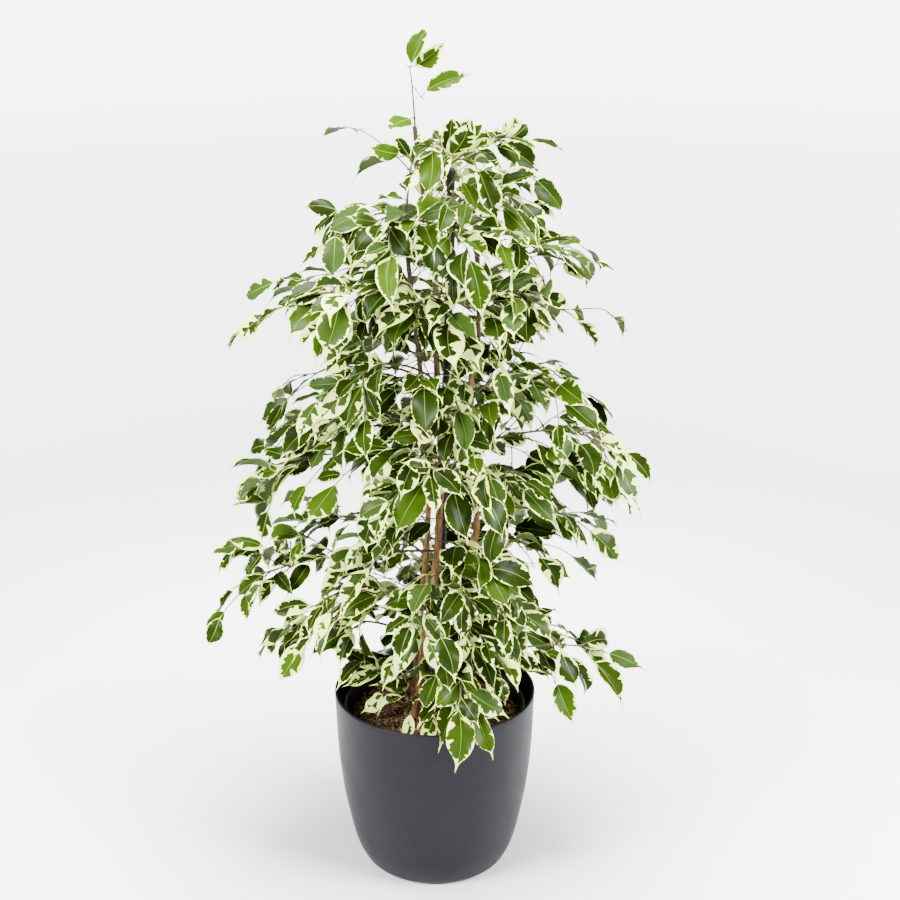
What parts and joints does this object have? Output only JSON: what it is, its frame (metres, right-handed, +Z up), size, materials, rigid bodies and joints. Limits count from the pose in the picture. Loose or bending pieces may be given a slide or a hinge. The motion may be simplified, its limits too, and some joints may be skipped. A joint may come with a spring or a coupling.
{
  "type": "potted weeping fig",
  "caption": "Bushy weeping fig with variegated pointed leaves on arching twigs, slim stems beside a stake, in a deep round planter.",
  "frame": {"origin": "middle of the planter's flat base, on the surface it stands on", "axes": "+Z up along the planter's axis, -Y towards the front that the picture shows, +X to its right"},
  "size_m": [0.5454, 0.3996, 1.067],
  "materials": {
    "planter": "satin anthracite plastic",
    "nursery_pot": "thin black plastic, slightly glossy",
    "soil": "loose brown peat and coir with light fibres",
    "stake": "ribbed black plastic coating",
    "bark": "smooth tan bark with small pale pores",
    "foliage": "satin waxy leaf, green with cream margins"
  },
  "bodies": {
    "root": {"planter": "planter", "nursery_pot": "nursery_pot", "soil": "soil", "stake": "stake", "stem_front": "bark", "stem_right": "bark", "stem_back": "bark", "spray_01": "foliage", "spray_02": "foliage", "spray_03": "foliage", "spray_04": "foliage", "spray_05": "foliage", "spray_06": "foliage", "spray_07": "foliage", "spray_08": "foliage", "spray_09": "foliage", "spray_10": "foliage", "spray_11": "foliage", "spray_12": "foliage", "spray_13": "foliage", "spray_14": "foliage", "spray_15": "foliage", "spray_16": "foliage", "spray_17": "foliage", "spray_18": "foliage", "spray_19": "foliage", "spray_20": "foliage", "spray_21": "foliage", "spray_22": "foliage", "spray_23": "foliage", "spray_24": "foliage", "spray_25": "foliage", "spray_26": "foliage", "spray_27": "foliage", "spray_28": "foliage", "spray_29": "foliage", "spray_30": "foliage", "spray_31": "foliage", "spray_32": "foliage", "spray_33": "foliage", "spray_34": "foliage", "spray_35": "foliage", "spray_36": "foliage", "spray_37": "foliage", "spray_38": "foliage", "spray_39": "foliage", "spray_40": "foliage", "spray_41": "foliage", "spray_42": "foliage", "spray_43": "foliage", "spray_44": "foliage", "spray_45": "foliage", "spray_46": "foliage", "spray_47": "foliage", "spray_48": "foliage", "spray_49": "foliage", "spray_50": "foliage", "spray_51": "foliage", "spray_52": "foliage"}
  },
  "joints": []
}
